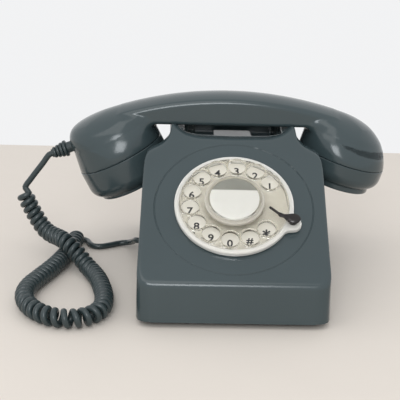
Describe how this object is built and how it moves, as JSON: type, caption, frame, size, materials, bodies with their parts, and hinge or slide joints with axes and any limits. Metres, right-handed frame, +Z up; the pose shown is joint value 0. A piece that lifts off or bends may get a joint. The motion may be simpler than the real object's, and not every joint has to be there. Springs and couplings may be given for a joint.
{
  "type": "rotary telephone",
  "caption": "Desk telephone with a finger dial, a handset resting across its cradle and a curly handset cord.",
  "frame": {"origin": "on the surface under the feet, below the middle of the telephone", "axes": "+X to the user's right along the handset, +Y to the rear, +Z up"},
  "size_m": [0.2771, 0.2171, 0.1306],
  "materials": {
    "grey_shell": "glossy moulded plastic",
    "grey_cord": "satin PVC",
    "cream": "cream glossy plastic",
    "clear": "clear acrylic",
    "card": "printed card",
    "chrome": "polished",
    "steel": "machined",
    "zinc": "zinc plated sheet",
    "brass": "plain",
    "copper": "enamelled winding",
    "rubber": "moulded rubber",
    "black_plastic": "moulded",
    "board": "printed board"
  },
  "bodies": {
    "base": {"case": "grey_shell", "base_plate": "zinc", "foot_front_left": "rubber", "foot_front_right": "rubber", "foot_rear_left": "rubber", "foot_rear_right": "rubber", "case_screw_1": "steel", "case_screw_2": "steel", "case_screw_3": "steel", "case_screw_4": "steel", "dial_bezel": "cream", "number_plate": "cream", "dial_frame": "zinc", "return_spring": "steel", "impulse_contacts": "black_plastic", "finger_stop": "chrome", "hook_pin": "steel", "hook_frame": "zinc", "hook_switch": "black_plastic", "circuit_board": "board", "ringer_frame": "zinc", "gong_left": "brass", "gong_right": "brass", "ringer_coil": "copper", "handset_socket": "black_plastic", "handset_plug": "clear", "line_socket": "black_plastic", "cord_to_handset": "grey_cord", "cord_curl": "grey_cord", "cord_to_base": "grey_cord"},
    "dial_wheel": {"finger_wheel": "clear", "dial_hub": "cream", "label_card": "card", "label_cover": "clear", "dial_spindle": "steel", "main_gear": "brass"},
    "governor": {"governor": "brass"},
    "handset": {"handset_handle": "grey_shell", "mouthpiece_cap": "grey_shell", "earpiece_cap": "grey_shell", "microphone_capsule": "steel", "receiver_capsule": "steel", "handset_weight": "steel", "handset_boot": "grey_cord"},
    "plunger_left": {"hook_plunger_left": "clear"},
    "plunger_right": {"hook_plunger_right": "clear"},
    "hook_lever": {"hook_lever": "steel"},
    "clapper": {"clapper": "steel"},
    "ringer_volume": {"ringer_volume": "black_plastic"}
  },
  "joints": [
    {"name": "handset_lift", "type": "slide", "parent": "base", "child": "handset", "axis": [0, 0, 1], "range_m": [0, 0.12]},
    {"name": "plunger_left_slide", "type": "slide", "parent": "base", "child": "plunger_left", "axis": [0, 0, 1], "range_m": [0, 0.0041]},
    {"name": "plunger_right_slide", "type": "slide", "parent": "base", "child": "plunger_right", "axis": [0, 0, 1], "range_m": [0, 0.0041]},
    {"name": "hook_lever_turn", "type": "hinge", "parent": "base", "child": "hook_lever", "pos_m": [0.0033, 0.012, 0.0786], "axis": [1, 0, 0], "range_deg": [0, 13.2]},
    {"name": "dial_spin", "type": "hinge", "parent": "base", "child": "dial_wheel", "pos_m": [0.0033, -0.05161, 0.06767], "axis": [0, 0.5878, -0.809], "range_deg": [0, 312], "stiffness_Nm_per_rad": 0.01, "springref_deg": -57.3},
    {"name": "governor_spin", "type": "hinge", "parent": "base", "child": "governor", "pos_m": [0.0033, -0.03038, 0.0831], "axis": [0, 0.5878, -0.809], "range_deg": [-1250, 0]},
    {"name": "clapper_swing", "type": "hinge", "parent": "base", "child": "clapper", "pos_m": [0.0033, 0.041, 0.023], "axis": [0, 0, 1], "range_deg": [-3, 3], "stiffness_Nm_per_rad": 0.002},
    {"name": "ringer_volume_slide", "type": "slide", "parent": "base", "child": "ringer_volume", "axis": [1, 0, 0], "range_m": [-0.004, 0.004]}
  ],
  "couplings": [
    {"joint": "plunger_left_slide", "follows": "handset_lift", "ratio": 0.033333},
    {"joint": "plunger_right_slide", "follows": "handset_lift", "ratio": 0.033333},
    {"joint": "hook_lever_turn", "follows": "handset_lift", "rad_per_m": 1.85},
    {"joint": "governor_spin", "follows": "dial_spin", "ratio": -4}
  ]
}
